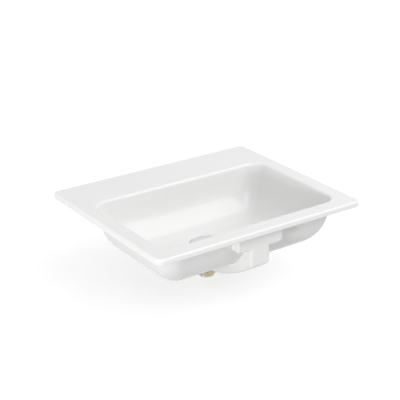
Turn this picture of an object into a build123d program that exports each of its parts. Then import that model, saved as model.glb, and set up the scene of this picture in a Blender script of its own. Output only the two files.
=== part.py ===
import math
import os

from build123d import *

os.makedirs("parts", exist_ok=True)

# An inset washbasin of glazed ceramic with a push-operated waste, all sizes in millimetres.
# The origin is the centre of the worktop's cut-out at the height of the worktop, which the rim rests on.
# X runs to the right, Y to the back and Z up.

# Rim
rim_width = 550.0
rim_depth = 450.0
rim_height = 14.0
rim_corner_radius = 16.0
rim_edge_radius = 5.0
rim_foot_chamfer = 1.5
seat_width = 15.0
side_land = 39.0
front_land = 40.0
tap_ledge = 118.0

# Bowl, measured on its inside face
side_draft = 16.0
front_draft = 9.0
back_draft = 3.0
bowl_sweep_radius = 82.0
bowl_corner_radius = 34.0
bowl_lip_radius = 7.0
bowl_thickness = 8.0
floor_fall = 0.02
floor_above_lip = 0.6

# Waste outlet in the bowl's floor
waste_y = -4.0
outlet_drop = 115.5
recess_depth = 7.0
recess_lip = 2.0
recess_rim_width = 14.0
recess_rim_angle = 25.0
waste_pad_radius = 46.0
waste_pad_thickness = 9.0

# Overflow passage, cast behind the front wall and under the floor
cutout_clearance = 1.5
housing_wall = 6.5
housing_edge_radius = 6.0
chamber_half_width = 62.0
chamber_height = 38.0
chamber_roof = 5.0
chamber_corner_radius = 9.0
duct_half_width = 26.0
duct_front_rise = 72.0
duct_belly_rise = 23.5
duct_belly_setback = 81.5
boss_height = 41.5
boss_radius = 37.0
boss_flare = 13.0
boss_edge_chamfer = 2.0
slot_width = 38.0
slot_height = 11.0
slot_drop = 34.0

# Tap ledge, with a tap hole left as a thin skin to knock out
relief_depth = 4.0
relief_corner_radius = 12.0
relief_front_land = 12.0
tap_inset = 55.0
tap_hole_radius = 17.5
tap_skin = 3.0
tap_pad_radius = 34.0
tap_dimple_radius = 15.0
tap_dimple_depth = 0.7

# Seal under the rim
seal_inset = 4.0
seal_width = 7.0
seal_thickness = 2.5

# Waste body
flange_radius = 36.0
flange_thickness = 2.2
flange_edge_chamfer = 0.6
flange_seal_radius = 34.0
flange_seal_thickness = 1.6
neck_radius = 22.4
neck_depth = 6.0
dish_radius = 21.5
dish_depth = 8.0
tube_radius = 20.2
thread_crest = 0.75
tube_bore_radius = 17.5
tube_tail = 34.0
tube_end_chamfer = 0.8
window_count = 3
window_width = 24.0
window_height = 12.5
window_corner_radius = 4.0
window_below_bridge = 1.8
bridge_thickness = 5.0
bridge_arm_width = 5.0
bridge_hub_radius = 11.5

# Plug
plug_gap = 0.6
cap_radius = 36.6
cap_edge_thickness = 2.4
cap_edge_chamfer = 0.6
cap_bevel_width = 9.0
cap_bevel_height = 1.2
cap_spigot_radius = 16.5
cap_spigot_length = 2.6
cap_boss_radius = 7.0
cap_boss_length = 7.5
plug_seal_gap = 0.4
stem_radius = 3.0
stem_in_cap = 6.0
stem_in_plunger = 6.0
locknut_across_flats = 10.0
locknut_height = 3.0
plunger_radius = 4.4
plunger_head_radius = 5.3
plunger_head_height = 2.5
plunger_pin_radius = 2.4
plunger_pin_length = 6.0
plunger_lead = 0.6
plug_travel = 8.0
travel_spare = 1.2
rotor_height = 4.0
rotor_tooth_depth = 1.4
rotor_tooth_count = 6

# Cartridge
collar_across_flats = 18.0
collar_height = 4.0
collar_gap = 1.4
cartridge_seal_radius = 10.5
cartridge_seal_thickness = 1.2
barrel_radius = 7.5
barrel_bore_radius = 5.7
barrel_length = 38.0
barrel_roof = 3.0
end_plug_flange = 2.5
end_plug_spigot = 5.0
spring_wire = 1.0
spring_coil_radius = 4.3
spring_turns = 4

# Nut stack under the boss
gasket_radius = 33.0
gasket_height = 7.0
gasket_lip_height = 4.0
gasket_lip_taper = 0.8
washer_radius = 32.0
washer_thickness = 2.0
nut_across_flats = 56.0
nut_height = 9.0
nut_flange_radius = 31.0
nut_flange_height = 3.0
nut_edge_chamfer = 0.8

# Clearances
thread_gap = 0.05
seal_gap = 0.2
loose_gap = 0.3
guide_gap = 0.1
neck_gap = 0.6
recess_gap = 1.3

# Places in plan, worked out from the sizes above
bowl_half_width = rim_width / 2 - side_land
bowl_front = front_land - rim_depth / 2
bowl_back = rim_depth / 2 - tap_ledge
tap_y = rim_depth / 2 - tap_inset
housing_front = seat_width + cutout_clearance - rim_depth / 2
waste_hole_radius = neck_radius + neck_gap
recess_radius = cap_radius + recess_gap

# Levels, from the rim down
slot_z = rim_height - slot_drop
lip_z = rim_height - outlet_drop
seat_z = lip_z - recess_depth
flange_bottom = seat_z + flange_seal_thickness
flange_top = flange_bottom + flange_thickness
cap_bottom = flange_top + plug_gap
cap_boss_bottom = cap_bottom - cap_boss_length
locknut_bottom = cap_boss_bottom - locknut_height
collar_top = locknut_bottom - collar_gap
collar_bottom = collar_top - collar_height
bridge_top = collar_bottom - cartridge_seal_thickness
bridge_bottom = bridge_top - bridge_thickness
window_z = bridge_bottom - window_below_bridge - window_height / 2
barrel_bottom = collar_top - barrel_length
plunger_top = collar_top + plunger_lead
plunger_head_top = collar_top - barrel_roof - plug_travel - travel_spare
plunger_head_bottom = plunger_head_top - plunger_head_height
rotor_bottom = plunger_head_bottom - rotor_height
spring_top = rotor_bottom - seal_gap
spring_bottom = barrel_bottom + end_plug_spigot
boss_bottom = seat_z - boss_height
washer_top = boss_bottom - gasket_height
nut_top = washer_top - washer_thickness
tube_bottom = boss_bottom - tube_tail

thread_radius = tube_radius + thread_crest

waste_axis = Axis((0, waste_y, 0), (0, 0, 1))
waste_section = Plane((0, waste_y, 0), x_dir=(1, 0, 0), z_dir=(0, -1, 0))


def waste_level(height):
    """A level plane centred on the waste's axis."""
    return Plane((0, waste_y, height))


def bowl_form(wall, top):
    """The bowl's inside up to the height top, or its outside where wall is the ceramic's thickness.

    Planes cut the drafted walls and a floor that falls towards the waste at the back. Each wall then
    sweeps into the floor, and the corners are rounded from the rim down.
    """
    side = math.radians(side_draft)
    front = math.radians(front_draft)
    back = math.radians(back_draft)
    middle = (bowl_front + bowl_back) / 2
    faces = [
        ((bowl_half_width, middle, rim_height), (math.cos(side), 0, -math.sin(side))),
        ((-bowl_half_width, middle, rim_height), (-math.cos(side), 0, -math.sin(side))),
        ((0, bowl_front, rim_height), (0, -math.cos(front), -math.sin(front))),
        ((0, bowl_back, rim_height), (0, math.cos(back), -math.sin(back))),
        ((0, waste_y + recess_radius, lip_z + floor_above_lip), (0, -floor_fall, -1)),
    ]
    with BuildPart() as form:
        with Locations((0, 0, top)):
            Box(rim_width, rim_depth, 2 * outlet_drop, align=(Align.CENTER, Align.CENTER, Align.MAX))
        for place, outwards in faces:
            face = Plane(place, z_dir=outwards)
            split(bisect_by=face.offset(wall), keep=Keep.BOTTOM)
        floor = form.faces().sort_by(Axis.Z)[0]
        fillet(floor.edges(), bowl_sweep_radius + wall)
        corner_edges = form.edges().filter_by(lambda edge: abs(edge.tangent_at(0).Z) > 0.3)
        fillet(corner_edges, bowl_corner_radius + wall)
    return form.part


# The space inside the bowl
with BuildPart() as bowl_hollow:
    add(bowl_form(0, 2 * rim_height))

# The bowl's outside, with the thick pad that the waste is clamped on
with BuildPart() as bowl_outside:
    add(bowl_form(bowl_thickness, 0))
    with BuildSketch(waste_level(seat_z - waste_pad_thickness)):
        Circle(waste_pad_radius)
    extrude(amount=waste_pad_thickness)

# The recess that the waste's flange and cap sit in, with its bevelled lip
with BuildPart() as waste_recess:
    lip_radius = recess_radius + recess_lip
    brim_radius = lip_radius + recess_rim_width
    brim_z = lip_z + recess_rim_width * math.tan(math.radians(recess_rim_angle))
    with BuildSketch(waste_section):
        with BuildLine():
            Polyline(
                (0, seat_z),
                (recess_radius, seat_z),
                (recess_radius, lip_z - recess_lip),
                (lip_radius, lip_z),
                (brim_radius, brim_z),
                (0, brim_z),
                close=True,
            )
        make_face()
    revolve(axis=waste_axis)


def duct_form(wall, top):
    """The duct from the front wall to the waste, from its belly up to the height top, drawn in by wall."""
    front = housing_front + wall
    bottom = boss_bottom + wall
    with BuildPart() as form:
        with BuildSketch(Plane.YZ):
            with BuildLine():
                belly = ThreePointArc(
                    (front, boss_bottom + duct_front_rise + wall / 2),
                    (housing_front + duct_belly_setback + wall / 2, bottom + duct_belly_rise),
                    (waste_y - boss_radius, bottom),
                )
                Polyline(
                    belly @ 1,
                    (waste_y, bottom),
                    (waste_y, seat_z),
                    (bowl_front, top),
                    (front, top),
                    belly @ 0,
                )
            make_face()
        extrude(amount=duct_half_width - wall, both=True)
    return form.part


def chamber_form(wall, top):
    """The wide chamber behind the overflow slot, hung from the height top, drawn in by wall."""
    front = housing_front + wall
    with BuildPart() as form:
        with BuildSketch(Plane.XZ.offset(-front)):
            with Locations((0, top)):
                Rectangle(
                    2 * (chamber_half_width - wall),
                    top + chamber_height - wall,
                    align=(Align.CENTER, Align.MAX),
                )
        extrude(amount=front - bowl_front)
    return form.part


def boss_form(wall):
    """The boss that the waste passes through, flared towards the bowl, drawn in by wall."""
    bottom = boss_bottom + wall
    with BuildPart() as form:
        with BuildSketch(waste_level(bottom)):
            Circle(boss_radius - wall)
        with BuildSketch(waste_level(seat_z)):
            Circle(boss_radius + boss_flare - wall)
        loft()
    return form.part


# The overflow's housing, outside: its long and upright edges are rounded
with BuildPart() as duct:
    add(duct_form(0, 0))
    long_edges = duct.edges().filter_by(GeomType.CIRCLE)
    upright_edges = duct.edges().filter_by(Axis.Z).group_by(Axis.Y)[0]
    foot_edge = duct.edges().filter_by(Axis.X).group_by(Axis.Y)[0].sort_by(Axis.Z)[:1]
    fillet(long_edges + upright_edges + foot_edge, housing_edge_radius)
with BuildPart() as chamber:
    add(chamber_form(0, 0))
    fillet(chamber.edges().filter_by(Axis.Y).group_by(Axis.Z)[0], chamber_corner_radius)
    fillet(chamber.faces().sort_by(Axis.Y)[0].edges().sort_by(Axis.Z)[:-1], housing_edge_radius)
with BuildPart() as boss:
    add(boss_form(0))
    chamfer(boss.faces().sort_by(Axis.Z)[0].edges(), boss_edge_chamfer)

# The overflow passage: what the housing leaves hollow outside the bowl's own wall
with BuildPart() as overflow_passage:
    add(duct_form(housing_wall, -chamber_roof))
    add(chamber_form(housing_wall, -chamber_roof))
    add(boss_form(housing_wall))
    add(bowl_outside.part, mode=Mode.SUBTRACT)

# The ceramic under the rim: bowl, duct, chamber and boss, with their hollows
with BuildPart() as underside:
    add(bowl_outside.part)
    add(duct.part)
    add(chamber.part)
    add(boss.part)
    add(overflow_passage.part, mode=Mode.SUBTRACT)
    add(bowl_hollow.part, mode=Mode.SUBTRACT)
    add(waste_recess.part, mode=Mode.SUBTRACT)

# Ceramic body
with BuildPart() as basin_body:
    with BuildSketch():
        RectangleRounded(rim_width, rim_depth, rim_corner_radius)
    extrude(amount=rim_height)
    fillet(basin_body.faces().sort_by(Axis.Z)[-1].edges(), rim_edge_radius)
    chamfer(basin_body.faces().sort_by(Axis.Z)[0].edges(), rim_foot_chamfer)
    add(bowl_hollow.part, mode=Mode.SUBTRACT)
    fillet(basin_body.faces().sort_by(Axis.Z)[-1].inner_wires()[0].edges(), bowl_lip_radius)
    # Relief under the tap ledge, which leaves a thick pad round the tap hole
    relief_front = bowl_back + bowl_thickness + relief_front_land
    relief_back = rim_depth / 2 - seat_width
    with BuildSketch():
        with Locations((0, (relief_front + relief_back) / 2)):
            RectangleRounded(rim_width - 2 * seat_width, relief_back - relief_front, relief_corner_radius)
        with Locations((0, tap_y)):
            Circle(tap_pad_radius, mode=Mode.SUBTRACT)
    extrude(amount=relief_depth, mode=Mode.SUBTRACT)
    add(underside.part)
    # Waste hole, through the floor and the boss
    with BuildSketch(waste_level(boss_bottom)):
        Circle(waste_hole_radius)
    extrude(amount=boss_height, mode=Mode.SUBTRACT)
    # Overflow slot in the front wall
    with BuildSketch(Plane.XZ.offset(-housing_front - housing_wall)):
        with Locations((0, slot_z)):
            SlotOverall(slot_width, slot_height)
    extrude(amount=-front_land, mode=Mode.SUBTRACT)
    # Tap hole from below, up to a skin with a shallow mark on top
    with BuildSketch():
        with Locations((0, tap_y)):
            Circle(tap_hole_radius)
    extrude(amount=rim_height - tap_skin, mode=Mode.SUBTRACT)
    mark_radius = (tap_dimple_radius**2 + tap_dimple_depth**2) / (2 * tap_dimple_depth)
    with Locations((0, tap_y, rim_height - tap_dimple_depth + mark_radius)):
        Sphere(mark_radius, mode=Mode.SUBTRACT)
    # Groove for the rim seal
    with BuildSketch():
        RectangleRounded(
            rim_width - 2 * seal_inset,
            rim_depth - 2 * seal_inset,
            rim_corner_radius - seal_inset,
        )
        RectangleRounded(
            rim_width - 2 * (seal_inset + seal_width),
            rim_depth - 2 * (seal_inset + seal_width),
            rim_corner_radius - seal_inset - seal_width,
            mode=Mode.SUBTRACT,
        )
    extrude(amount=seal_thickness, mode=Mode.SUBTRACT)
basin_body.part.label = "basin_body"
export_step(basin_body.part, "parts/basin_body.step")

# Foam seal, flush with the rim's foot once the basin's weight has pressed it in
with BuildPart() as rim_seal:
    with BuildSketch():
        RectangleRounded(
            rim_width - 2 * (seal_inset + seal_gap),
            rim_depth - 2 * (seal_inset + seal_gap),
            rim_corner_radius - seal_inset - seal_gap,
        )
        RectangleRounded(
            rim_width - 2 * (seal_inset + seal_width - seal_gap),
            rim_depth - 2 * (seal_inset + seal_width - seal_gap),
            rim_corner_radius - seal_inset - seal_width + seal_gap,
            mode=Mode.SUBTRACT,
        )
    extrude(amount=seal_thickness)
rim_seal.part.label = "rim_seal"
export_step(rim_seal.part, "parts/rim_seal.step")

# Waste body: flange and tube in one turning, with overflow windows and a bridge for the cartridge
with BuildPart() as waste_body:
    with BuildSketch(waste_section):
        with BuildLine():
            Polyline(
                (tube_bore_radius, tube_bottom),
                (tube_radius - tube_end_chamfer, tube_bottom),
                (tube_radius, tube_bottom + tube_end_chamfer),
                (tube_radius, flange_bottom - neck_depth - neck_radius + tube_radius),
                (neck_radius, flange_bottom - neck_depth),
                (neck_radius, flange_bottom),
                (flange_radius, flange_bottom),
                (flange_radius, flange_top - flange_edge_chamfer),
                (flange_radius - flange_edge_chamfer, flange_top),
                (dish_radius, flange_top),
                (tube_bore_radius, flange_top - dish_depth),
                close=True,
            )
        make_face()
    revolve(axis=waste_axis)
    with BuildSketch(waste_level(bridge_bottom)):
        Circle(bridge_hub_radius)
        with PolarLocations(0, window_count):
            Rectangle(
                tube_bore_radius + thread_gap,
                bridge_arm_width,
                align=(Align.MIN, Align.CENTER),
            )
        Circle(barrel_radius + thread_gap, mode=Mode.SUBTRACT)
    extrude(amount=bridge_thickness)
    for index in range(window_count):
        turn = math.radians((index + 0.5) * 360 / window_count)
        outwards = (math.cos(turn), math.sin(turn), 0)
        across = (-math.sin(turn), math.cos(turn), 0)
        with BuildSketch(Plane((0, waste_y, window_z), x_dir=across, z_dir=outwards)):
            RectangleRounded(window_width, window_height, window_corner_radius)
        extrude(amount=neck_radius, mode=Mode.SUBTRACT)
waste_body.part.label = "waste_body"
export_step(waste_body.part, "parts/waste_body.step")

# Rubber washer between the flange and the ceramic
with BuildPart() as flange_seal:
    with BuildSketch(waste_level(seat_z)):
        Circle(flange_seal_radius)
        Circle(waste_hole_radius, mode=Mode.SUBTRACT)
    extrude(amount=flange_seal_thickness)
flange_seal.part.label = "flange_seal"
export_step(flange_seal.part, "parts/flange_seal.step")

# Tapered gasket under the boss, with a lip that centres it in the waste hole
with BuildPart() as underside_gasket:
    lip_foot = waste_hole_radius - seal_gap
    with BuildSketch(waste_section):
        with BuildLine():
            Polyline(
                (thread_radius + loose_gap, washer_top),
                (washer_radius - gasket_lip_taper, washer_top),
                (gasket_radius, boss_bottom),
                (lip_foot, boss_bottom),
                (lip_foot - gasket_lip_taper, boss_bottom + gasket_lip_height),
                (thread_radius + loose_gap, boss_bottom + gasket_lip_height),
                close=True,
            )
        make_face()
    revolve(axis=waste_axis)
underside_gasket.part.label = "underside_gasket"
export_step(underside_gasket.part, "parts/underside_gasket.step")

# Slip washer, so that the nut turns without dragging the gasket
with BuildPart() as slip_washer:
    with BuildSketch(waste_level(nut_top)):
        Circle(washer_radius)
        Circle(thread_radius + loose_gap, mode=Mode.SUBTRACT)
    extrude(amount=washer_thickness)
slip_washer.part.label = "slip_washer"
export_step(slip_washer.part, "parts/slip_washer.step")

# Back nut with a round flange
with BuildPart() as back_nut:
    with BuildSketch(waste_level(nut_top - nut_flange_height - nut_height)):
        RegularPolygon(nut_across_flats / 2, 6, major_radius=False)
    extrude(amount=nut_height)
    chamfer(back_nut.faces().sort_by(Axis.Z)[0].edges(), nut_edge_chamfer)
    with BuildSketch(waste_level(nut_top - nut_flange_height)):
        Circle(nut_flange_radius)
    extrude(amount=nut_flange_height)
    with BuildSketch(waste_level(nut_top)):
        Circle(tube_radius + thread_gap)
    extrude(amount=-nut_flange_height - nut_height, mode=Mode.SUBTRACT)
back_nut.part.label = "back_nut"
export_step(back_nut.part, "parts/back_nut.step")

# Ring between the barrel's collar and the bridge
with BuildPart() as cartridge_seal:
    with BuildSketch(waste_level(bridge_top)):
        Circle(cartridge_seal_radius)
        Circle(barrel_radius + thread_gap, mode=Mode.SUBTRACT)
    extrude(amount=cartridge_seal_thickness)
cartridge_seal.part.label = "cartridge_seal"
export_step(cartridge_seal.part, "parts/cartridge_seal.step")

# Cartridge barrel, screwed into the bridge by its hexagonal collar
with BuildPart() as cartridge_barrel:
    with BuildSketch(waste_level(collar_bottom)):
        RegularPolygon(collar_across_flats / 2, 6, major_radius=False)
    extrude(amount=collar_height)
    with BuildSketch(waste_level(barrel_bottom)):
        Circle(barrel_radius)
    extrude(amount=barrel_length - collar_height)
    with BuildSketch(waste_level(barrel_bottom)):
        Circle(barrel_bore_radius)
    extrude(amount=barrel_length - barrel_roof, mode=Mode.SUBTRACT)
    with BuildSketch(waste_level(barrel_bottom)):
        Circle(plunger_radius + guide_gap)
    extrude(amount=barrel_length, mode=Mode.SUBTRACT)
cartridge_barrel.part.label = "cartridge_barrel"
export_step(cartridge_barrel.part, "parts/cartridge_barrel.step")

# Plug that closes the barrel's lower end and carries the spring
with BuildPart() as cartridge_end_plug:
    with BuildSketch(waste_level(barrel_bottom - end_plug_flange)):
        Circle(barrel_radius)
    extrude(amount=end_plug_flange)
    with BuildSketch(waste_level(barrel_bottom)):
        Circle(barrel_bore_radius - thread_gap)
    extrude(amount=end_plug_spigot)
cartridge_end_plug.part.label = "cartridge_end_plug"
export_step(cartridge_end_plug.part, "parts/cartridge_end_plug.step")

# Bevelled cap with a spigot for its sealing ring and a boss for the stem
with BuildPart() as plug_cap:
    cap_top = cap_bottom + cap_edge_thickness
    with BuildSketch(waste_section):
        with BuildLine():
            Polyline(
                (0, cap_top + cap_bevel_height),
                (0, cap_boss_bottom),
                (cap_boss_radius, cap_boss_bottom),
                (cap_boss_radius, cap_bottom - cap_spigot_length),
                (cap_spigot_radius, cap_bottom - cap_spigot_length),
                (cap_spigot_radius, cap_bottom),
                (cap_radius - cap_edge_chamfer, cap_bottom),
                (cap_radius, cap_bottom + cap_edge_chamfer),
                (cap_radius, cap_top - cap_edge_chamfer),
                (cap_radius - cap_edge_chamfer, cap_top),
                (cap_radius - cap_edge_chamfer - cap_bevel_width, cap_top + cap_bevel_height),
                close=True,
            )
        make_face()
    revolve(axis=waste_axis)
    with BuildSketch(waste_level(cap_boss_bottom)):
        Circle(stem_radius + thread_gap)
    extrude(amount=stem_in_cap + seal_gap, mode=Mode.SUBTRACT)
plug_cap.part.label = "plug_cap"
export_step(plug_cap.part, "parts/plug_cap.step")

# Sealing ring round the cap's spigot, bevelled like the dish that it closes
with BuildPart() as plug_seal:
    dish_slope = (dish_radius - tube_bore_radius) / dish_depth
    seal_top_radius = dish_radius + dish_slope * plug_gap - plug_seal_gap
    seal_foot_radius = seal_top_radius - dish_slope * cap_spigot_length
    with BuildSketch(waste_section):
        with BuildLine():
            Polyline(
                (cap_spigot_radius, cap_bottom - cap_spigot_length),
                (seal_foot_radius, cap_bottom - cap_spigot_length),
                (seal_top_radius, cap_bottom),
                (cap_spigot_radius, cap_bottom),
                close=True,
            )
        make_face()
    revolve(axis=waste_axis)
plug_seal.part.label = "plug_seal"
export_step(plug_seal.part, "parts/plug_seal.step")

# Stem between the cap and the plunger
with BuildPart() as plug_stem:
    stem_bottom = plunger_top - stem_in_plunger
    with BuildSketch(waste_level(stem_bottom)):
        Circle(stem_radius)
    extrude(amount=cap_boss_bottom + stem_in_cap - stem_bottom)
plug_stem.part.label = "plug_stem"
export_step(plug_stem.part, "parts/plug_stem.step")

# Locknut that holds the cap at its height
with BuildPart() as stem_locknut:
    with BuildSketch(waste_level(locknut_bottom)):
        RegularPolygon(locknut_across_flats / 2, 6, major_radius=False)
        Circle(stem_radius + thread_gap, mode=Mode.SUBTRACT)
    extrude(amount=locknut_height)
stem_locknut.part.label = "stem_locknut"
export_step(stem_locknut.part, "parts/stem_locknut.step")

# Plunger: a guided rod, a head that stops under the barrel's roof, and a pin for the rotor
with BuildPart() as cartridge_plunger:
    with BuildSketch(waste_level(plunger_head_top)):
        Circle(plunger_radius)
    extrude(amount=plunger_top - plunger_head_top)
    with BuildSketch(waste_level(plunger_head_bottom)):
        Circle(plunger_head_radius)
    extrude(amount=plunger_head_height)
    with BuildSketch(waste_level(plunger_head_bottom - plunger_pin_length)):
        Circle(plunger_pin_radius)
    extrude(amount=plunger_pin_length)
    with BuildSketch(waste_level(plunger_top - stem_in_plunger - seal_gap)):
        Circle(stem_radius + thread_gap)
    extrude(amount=stem_in_plunger + seal_gap, mode=Mode.SUBTRACT)
cartridge_plunger.part.label = "cartridge_plunger"
export_step(cartridge_plunger.part, "parts/cartridge_plunger.step")

# Rotor: a toothed ring on the plunger's pin, which turns one tooth each time the cap is pushed
with BuildPart() as cartridge_rotor:
    rotor_top = plunger_head_bottom - seal_gap
    with BuildSketch(waste_level(rotor_bottom)):
        Circle(plunger_head_radius)
        Circle(plunger_pin_radius + guide_gap, mode=Mode.SUBTRACT)
    extrude(amount=rotor_top - rotor_bottom)
    with BuildSketch(waste_level(rotor_top)):
        tooth_pitch = 2 * math.pi * plunger_head_radius / rotor_tooth_count
        with PolarLocations(plunger_head_radius, rotor_tooth_count):
            Rectangle(plunger_head_radius - plunger_pin_radius, tooth_pitch / 2)
    extrude(amount=-rotor_tooth_depth, mode=Mode.SUBTRACT)
cartridge_rotor.part.label = "cartridge_rotor"
export_step(cartridge_rotor.part, "parts/cartridge_rotor.step")

# Compression spring of square wire between the end plug and the rotor
with BuildPart() as cartridge_spring:
    spring_height = spring_top - spring_bottom - spring_wire
    with BuildLine() as coil:
        Helix(
            spring_height / spring_turns,
            spring_height,
            spring_coil_radius,
            center=(0, waste_y, spring_bottom + spring_wire / 2),
        )
    with BuildSketch(Plane(coil.line @ 0, x_dir=(1, 0, 0), z_dir=coil.line % 0)):
        Rectangle(spring_wire, spring_wire)
    sweep(path=coil.line, is_frenet=True)
cartridge_spring.part.label = "cartridge_spring"
export_step(cartridge_spring.part, "parts/cartridge_spring.step")
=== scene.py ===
import math

import bmesh
import bpy
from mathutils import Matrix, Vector


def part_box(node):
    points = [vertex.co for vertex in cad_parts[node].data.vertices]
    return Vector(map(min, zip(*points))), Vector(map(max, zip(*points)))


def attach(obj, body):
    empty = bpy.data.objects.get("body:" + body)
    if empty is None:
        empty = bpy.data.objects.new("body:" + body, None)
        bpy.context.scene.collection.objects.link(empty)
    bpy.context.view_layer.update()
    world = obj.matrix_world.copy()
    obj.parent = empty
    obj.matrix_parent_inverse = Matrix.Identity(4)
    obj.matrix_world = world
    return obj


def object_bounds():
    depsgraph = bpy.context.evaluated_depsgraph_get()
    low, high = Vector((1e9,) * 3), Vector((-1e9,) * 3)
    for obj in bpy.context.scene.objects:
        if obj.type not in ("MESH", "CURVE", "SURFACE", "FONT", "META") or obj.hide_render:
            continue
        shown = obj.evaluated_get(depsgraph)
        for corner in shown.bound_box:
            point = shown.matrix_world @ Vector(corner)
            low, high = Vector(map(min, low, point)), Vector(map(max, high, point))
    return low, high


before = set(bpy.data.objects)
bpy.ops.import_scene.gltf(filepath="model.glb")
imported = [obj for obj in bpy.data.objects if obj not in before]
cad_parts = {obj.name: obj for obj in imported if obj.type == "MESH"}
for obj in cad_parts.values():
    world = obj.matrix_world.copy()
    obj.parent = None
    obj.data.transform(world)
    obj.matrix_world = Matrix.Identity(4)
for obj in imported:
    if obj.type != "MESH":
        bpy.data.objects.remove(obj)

cad_low, cad_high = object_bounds()

# Camera, worked out from the rim's corners in the photograph
LOOK_AT = Vector((-0.0042, 0.0146, 0.0))
CAMERA_AZIMUTH = -35.15
CAMERA_ELEVATION = 22.815
CAMERA_DISTANCE = 2.574
SENSOR_WIDTH = 36.0
LENS = 100.58

# Sizes of the pieces and marks made here, in metres; a share is of the thread's pitch
THREAD_PITCH = 0.002309
THREAD_CREST = 0.02095
THREAD_ROOT = 0.0201
THREAD_ROOT_SHARE = 0.46
THREAD_CREST_SHARE = 0.09
THREAD_FADE = 12
THREAD_STEPS = 72
RING_SECTION = (
    (0.0381, -0.1092),
    (0.0497, -0.1112),
    (0.0512, -0.1062),
    (0.0508, -0.1050),
    (0.0381, -0.1050),
)
RING_STEPS = 128
FOOT_BARE = 0.0002
FOOT_GLAZED = 0.0006
FLOOR_SIZE = 12.0

# Light: places and sizes in metres, powers in watts
WORLD_STRENGTH = 0.67
FLOOR_LIFT = 0.68
KEY_PLACE = (1.5, -1.9, 2.5)
KEY_SIZE = 3.4
KEY_POWER = 59
LOW_PLACE = (-2.5, -1.0, -0.02)
LOW_SIZE = 0.32
LOW_POWER = 30


# Material helpers
class Material:
    """A node material with one Principled shader, and short calls for the nodes that feed it."""

    def __init__(self, name):
        self.material = bpy.data.materials.new(name)
        self.material.use_nodes = True
        self.tree = self.material.node_tree
        self.shader = self.tree.nodes["Principled BSDF"]
        self.place = self.tree.nodes.new("ShaderNodeTexCoord").outputs["Object"]

    def set(self, **values):
        for name, value in values.items():
            self.shader.inputs[name.replace("_", " ")].default_value = value

    def link(self, output, name):
        self.tree.links.new(output, self.shader.inputs[name])

    def node(self, kind, **inputs):
        made = self.tree.nodes.new(kind)
        for name, value in inputs.items():
            socket = made.inputs[name.replace("_", " ")]
            if isinstance(value, bpy.types.NodeSocket):
                self.tree.links.new(value, socket)
            else:
                socket.default_value = value
        return made

    def stretched(self, x, y, z):
        """Object coordinates in metres, scaled along each axis."""
        mapping = self.node("ShaderNodeMapping", Vector=self.place)
        mapping.inputs["Scale"].default_value = (x, y, z)
        return mapping.outputs["Vector"]

    def noise(self, scale, detail=3.0, roughness=0.55, vector=None):
        made = self.node(
            "ShaderNodeTexNoise",
            Vector=vector or self.place,
            Scale=scale,
            Detail=detail,
            Roughness=roughness,
        )
        return made.outputs["Fac"]

    def ramp(self, factor, *stops):
        """A ramp of (position, colour) stops; a colour may be one grey number."""
        made = self.node("ShaderNodeValToRGB", Fac=factor)
        elements = made.color_ramp.elements
        while len(elements) < len(stops):
            elements.new(0.5)
        for element, (position, colour) in zip(elements, stops):
            element.position = position
            element.color = colour if isinstance(colour, tuple) else (colour, colour, colour, 1)
        return made.outputs["Color"]

    def range(self, value, from_low, from_high, to_low, to_high):
        made = self.node("ShaderNodeMapRange", Value=value)
        made.inputs["From Min"].default_value = from_low
        made.inputs["From Max"].default_value = from_high
        made.inputs["To Min"].default_value = to_low
        made.inputs["To Max"].default_value = to_high
        return made.outputs["Result"]

    def math(self, operation, first, second):
        made = self.tree.nodes.new("ShaderNodeMath")
        made.operation = operation
        for socket, value in zip(made.inputs, (first, second)):
            if isinstance(value, bpy.types.NodeSocket):
                self.tree.links.new(value, socket)
            else:
                socket.default_value = value
        return made.outputs["Value"]

    def mix(self, factor, first, second):
        made = self.tree.nodes.new("ShaderNodeMix")
        made.data_type = "RGBA"
        sockets = (made.inputs[0], made.inputs[6], made.inputs[7])
        for socket, value in zip(sockets, (factor, first, second)):
            if isinstance(value, bpy.types.NodeSocket):
                self.tree.links.new(value, socket)
            else:
                socket.default_value = value
        return made.outputs[2]

    def bump(self, height, strength, distance, under=None):
        made = self.node("ShaderNodeBump", Height=height, Strength=strength, Distance=distance)
        if under is not None:
            self.tree.links.new(under, made.inputs["Normal"])
        return made.outputs["Normal"]


def colour(red, green, blue):
    return (red, green, blue, 1.0)


def seen_directly(tree):
    """1 for camera, glossy and transmission rays, 0 for those that light a surface."""
    path = tree.nodes.new("ShaderNodeLightPath")
    seen = path.outputs["Is Camera Ray"]
    for name in ("Is Glossy Ray", "Is Transmission Ray"):
        either = tree.nodes.new("ShaderNodeMath")
        either.operation = "MAXIMUM"
        tree.links.new(seen, either.inputs[0])
        tree.links.new(path.outputs[name], either.inputs[1])
        seen = either.outputs[0]
    return seen


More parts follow.
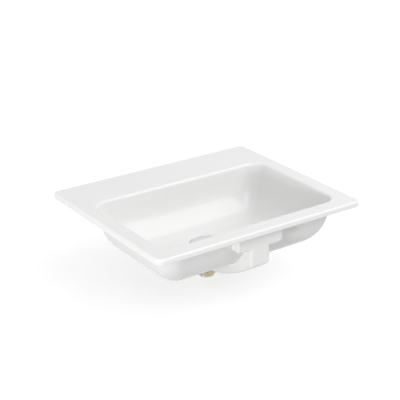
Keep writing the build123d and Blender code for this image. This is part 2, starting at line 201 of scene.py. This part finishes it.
# Glazed ceramic: clear glaze over a white body, bare and ground where the rim rests on the worktop
def make_glaze():
    made = Material("glaze")
    position = made.node("ShaderNodeSeparateXYZ", Vector=made.place)
    normal = made.tree.nodes.new("ShaderNodeNewGeometry").outputs["Normal"]
    facing = made.node("ShaderNodeSeparateXYZ", Vector=normal)
    down = made.range(facing.outputs["Z"], -0.97, -0.90, 1.0, 0.0)
    height = made.math("ABSOLUTE", position.outputs["Z"], 0.0)
    at_foot = made.range(height, FOOT_BARE, FOOT_GLAZED, 1.0, 0.0)
    ragged = made.ramp(made.noise(140, 4), (0.30, 0.0), (0.40, 1.0))
    bare = made.math("MULTIPLY", made.math("MULTIPLY", down, at_foot), ragged)
    cloudy = made.ramp(
        made.noise(5, 4),
        (0.35, colour(0.855, 0.856, 0.85)),
        (0.70, colour(0.872, 0.873, 0.868)),
    )
    speck = made.ramp(made.noise(900, 2), (0.19, 0.35), (0.215, 1.0))
    glazed = made.node("ShaderNodeMix", Factor=0.10)
    glazed.data_type = "RGBA"
    glazed.blend_type = "MULTIPLY"
    made.tree.links.new(cloudy, glazed.inputs[6])
    made.tree.links.new(speck, glazed.inputs[7])
    body = made.ramp(
        made.noise(320, 5),
        (0.3, colour(0.70, 0.68, 0.63)),
        (0.7, colour(0.79, 0.77, 0.73)),
    )
    made.link(made.mix(bare, glazed.outputs[2], body), "Base Color")
    gloss = made.range(made.noise(14, 3), 0.3, 0.7, 0.10, 0.15)
    made.link(made.mix(bare, gloss, colour(0.62, 0.62, 0.62)), "Roughness")
    flow = made.bump(made.noise(26, 2, 0.4), 0.10, 0.0012)
    grain = made.bump(made.math("MULTIPLY", made.noise(1500, 3), bare), 0.35, 0.0003, flow)
    made.link(grain, "Normal")
    made.set(IOR=1.52)
    return made.material


# Chrome plate with faint rings from buffing and dried water marks
def make_chrome():
    made = Material("chrome")
    spots = made.ramp(
        made.noise(260, 4),
        (0.45, colour(0.74, 0.75, 0.77)),
        (0.62, colour(0.70, 0.71, 0.72)),
    )
    made.link(spots, "Base Color")
    film = made.range(made.noise(60, 4), 0.35, 0.7, 0.07, 0.17)
    made.link(film, "Roughness")
    rings = made.noise(1.0, 2, 0.5, made.stretched(60, 60, 3500))
    made.link(made.bump(rings, 0.05, 0.0001), "Normal")
    made.set(Metallic=1.0)
    return made.material


# Cast and turned brass, dulled in places
def make_brass():
    made = Material("brass")
    tarnish = made.ramp(
        made.noise(90, 5, 0.65),
        (0.30, colour(0.42, 0.31, 0.16)),
        (0.55, colour(0.62, 0.50, 0.29)),
        (0.80, colour(0.71, 0.59, 0.36)),
    )
    made.link(tarnish, "Base Color")
    made.link(made.range(made.noise(120, 4), 0.3, 0.7, 0.24, 0.42), "Roughness")
    turned = made.noise(1.0, 2, 0.5, made.stretched(40, 40, 5000))
    made.link(made.bump(turned, 0.12, 0.0002), "Normal")
    made.set(Metallic=1.0)
    return made.material


# Black sealing rubber with a talc bloom
def make_rubber():
    made = Material("rubber")
    bloom = made.ramp(
        made.noise(120, 5, 0.6),
        (0.40, colour(0.022, 0.022, 0.023)),
        (0.75, colour(0.060, 0.060, 0.062)),
    )
    made.link(bloom, "Base Color")
    made.link(made.range(made.noise(200, 3), 0.3, 0.7, 0.50, 0.68), "Roughness")
    made.link(made.bump(made.noise(1800, 3), 0.25, 0.0002), "Normal")
    made.set(Specular_IOR_Level=0.35)
    return made.material


# Closed-cell foam
def make_foam():
    made = Material("foam")
    cells = made.node("ShaderNodeTexVoronoi", Vector=made.place, Scale=1400.0).outputs["Distance"]
    walls = made.ramp(cells, (0.0, colour(0.20, 0.205, 0.21)), (0.6, colour(0.31, 0.315, 0.32)))
    made.link(walls, "Base Color")
    made.link(made.range(cells, 0.0, 0.7, 0.82, 0.95), "Roughness")
    made.link(made.bump(cells, 0.5, 0.0004), "Normal")
    made.set(Specular_IOR_Level=0.2)
    return made.material


# Moulded plastics
def make_plastic(name, dark, light, roughness):
    made = Material(name)
    made.link(made.ramp(made.noise(70, 4), (0.35, dark), (0.70, light)), "Base Color")
    worn = made.range(made.noise(240, 3), 0.3, 0.7, roughness - 0.05, roughness + 0.07)
    made.link(worn, "Roughness")
    made.link(made.bump(made.noise(2200, 2), 0.15, 0.0001), "Normal")
    made.set(IOR=1.48)
    return made.material


# Drawn spring wire
def make_spring_steel():
    made = Material("spring_steel")
    drawn = made.noise(1.0, 3, 0.6, made.stretched(3000, 3000, 200))
    streaks = made.ramp(drawn, (0.3, colour(0.46, 0.47, 0.48)), (0.7, colour(0.60, 0.60, 0.61)))
    made.link(streaks, "Base Color")
    made.link(made.range(drawn, 0.3, 0.7, 0.25, 0.36), "Roughness")
    made.set(Metallic=1.0)
    return made.material


MATERIALS = {
    "glaze": make_glaze(),
    "chrome": make_chrome(),
    "brass": make_brass(),
    "rubber": make_rubber(),
    "foam": make_foam(),
    "nylon": make_plastic("nylon", colour(0.70, 0.69, 0.64), colour(0.78, 0.77, 0.73), 0.38),
    "acetal": make_plastic("acetal", colour(0.78, 0.78, 0.76), colour(0.84, 0.84, 0.82), 0.30),
    "spring_steel": make_spring_steel(),
}

NODE_MATERIALS = {
    "basin_body": "glaze",
    "rim_seal": "foam",
    "waste_body": "chrome",
    "flange_seal": "rubber",
    "underside_gasket": "rubber",
    "slip_washer": "nylon",
    "back_nut": "brass",
    "cartridge_seal": "rubber",
    "cartridge_barrel": "brass",
    "cartridge_end_plug": "brass",
    "plug_cap": "chrome",
    "plug_seal": "rubber",
    "plug_stem": "brass",
    "stem_locknut": "brass",
    "cartridge_plunger": "brass",
    "cartridge_rotor": "acetal",
    "cartridge_spring": "spring_steel",
}

for node_name, material_name in NODE_MATERIALS.items():
    for material_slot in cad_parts[node_name].material_slots:
        material_slot.material = MATERIALS[material_name]


def make_object(name, rows, closed):
    """An object with a skin from each row of points to the next, and ends unless it is closed."""
    mesh = bmesh.new()
    skin = [[mesh.verts.new(point) for point in row] for row in rows]
    following = skin[1:] + skin[:1] if closed else skin[1:]
    for row, after in zip(skin, following):
        for index in range(len(row)):
            follow = (index + 1) % len(row)
            mesh.faces.new((row[index], after[index], after[follow], row[follow]))
    if not closed:
        mesh.faces.new(skin[0])
        mesh.faces.new(reversed(skin[-1]))
    bmesh.ops.recalc_face_normals(mesh, faces=mesh.faces)
    data = bpy.data.meshes.new(name)
    mesh.to_mesh(data)
    mesh.free()
    made = bpy.data.objects.new(name, data)
    bpy.context.collection.objects.link(made)
    return made


def row_of_points(axis, turn, section):
    """The section's points (radius, height), turned round the waste's axis."""
    return [
        (axis.x + radius * math.cos(turn), axis.y + radius * math.sin(turn), height)
        for radius, height in section
    ]


waste_low, waste_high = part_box("waste_body")
waste_axis = (waste_low + waste_high) / 2


# Thread on the waste's tail: one ridge wound round the tube, tapering away at both ends
def make_tail_thread():
    bottom = waste_low.z + THREAD_PITCH
    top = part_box("underside_gasket")[0].z
    turns = int((top - bottom) / THREAD_PITCH)
    rows = []
    for step in range(turns * THREAD_STEPS + 1):
        turn = 2 * math.pi * step / THREAD_STEPS
        run = step / (turns * THREAD_STEPS)
        fade = min(1.0, THREAD_FADE * run, THREAD_FADE * (1 - run))
        crest = THREAD_ROOT + (THREAD_CREST - THREAD_ROOT) * fade
        height = bottom + THREAD_PITCH * step / THREAD_STEPS
        section = (
            (THREAD_ROOT, height - THREAD_ROOT_SHARE * THREAD_PITCH),
            (crest, height - THREAD_CREST_SHARE * THREAD_PITCH),
            (crest, height + THREAD_CREST_SHARE * THREAD_PITCH),
            (THREAD_ROOT, height + THREAD_ROOT_SHARE * THREAD_PITCH),
        )
        rows.append(row_of_points(waste_axis, turn, section))
    thread = make_object("tail_thread", rows, closed=False)
    thread.data.materials.append(MATERIALS["chrome"])
    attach(thread, "basin")


make_tail_thread()


# Ceramic that runs from the boss into the floor's underside, all round the waste
def make_boss_ring():
    turns = [2 * math.pi * step / RING_STEPS for step in range(RING_STEPS)]
    rows = [row_of_points(waste_axis, turn, RING_SECTION) for turn in turns]
    ring = make_object("boss_ring", rows, closed=True)
    ring.data.materials.append(MATERIALS["glaze"])
    for face in ring.data.polygons:
        face.use_smooth = True
    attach(ring, "basin")


make_boss_ring()


# Floor: camera and polished surfaces see it white, apart from the object's shadow
def make_floor():
    bpy.ops.mesh.primitive_plane_add(size=FLOOR_SIZE, location=(0, 0, cad_low.z))
    floor = bpy.context.object
    floor.name = "floor"
    made = Material("floor")
    tone = made.ramp(
        made.noise(2.5, 3),
        (0.35, colour(0.42, 0.42, 0.42)),
        (0.65, colour(0.44, 0.44, 0.44)),
    )
    made.link(tone, "Base Color")
    made.link(made.range(made.noise(40, 3), 0.3, 0.7, 0.85, 0.95), "Roughness")
    made.link(made.range(seen_directly(made.tree), 0.0, 1.0, 0.0, FLOOR_LIFT), "Emission Strength")
    made.set(Emission_Color=colour(1.0, 1.0, 1.0))
    floor.data.materials.append(made.material)


make_floor()


# World: soft even light, which the camera, gloss and glass see as white
def make_world():
    world = bpy.data.worlds.new("studio")
    bpy.context.scene.world = world
    world.use_nodes = True
    tree = world.node_tree
    background = tree.nodes["Background"]
    background.inputs["Color"].default_value = colour(1.0, 1.0, 1.0)
    strength = tree.nodes.new("ShaderNodeMapRange")
    strength.inputs["To Min"].default_value = WORLD_STRENGTH
    strength.inputs["To Max"].default_value = 1.0
    tree.links.new(seen_directly(tree), strength.inputs["Value"])
    tree.links.new(strength.outputs["Result"], background.inputs["Strength"])


make_world()


def add_area_light(name, place, size, power):
    data = bpy.data.lights.new(name, "AREA")
    data.shape = "SQUARE"
    data.size = size
    data.energy = power
    lamp = bpy.data.objects.new(name, data)
    bpy.context.collection.objects.link(lamp)
    lamp.location = place
    lamp.rotation_euler = (-Vector(place)).to_track_quat("-Z", "Y").to_euler()


add_area_light("key_light", KEY_PLACE, KEY_SIZE, KEY_POWER)
add_area_light("low_light", LOW_PLACE, LOW_SIZE, LOW_POWER)


def add_camera():
    azimuth, elevation = math.radians(CAMERA_AZIMUTH), math.radians(CAMERA_ELEVATION)
    backwards = Vector(
        (
            math.sin(azimuth) * math.cos(elevation),
            -math.cos(azimuth) * math.cos(elevation),
            math.sin(elevation),
        )
    )
    data = bpy.data.cameras.new("camera")
    data.sensor_width = SENSOR_WIDTH
    data.lens = LENS
    camera = bpy.data.objects.new("camera", data)
    bpy.context.collection.objects.link(camera)
    camera.location = LOOK_AT + CAMERA_DISTANCE * backwards
    camera.rotation_euler = backwards.to_track_quat("Z", "Y").to_euler()
    bpy.context.scene.camera = camera


add_camera()

bpy.context.scene.view_settings.view_transform = "Standard"

bpy.context.view_layer.update()
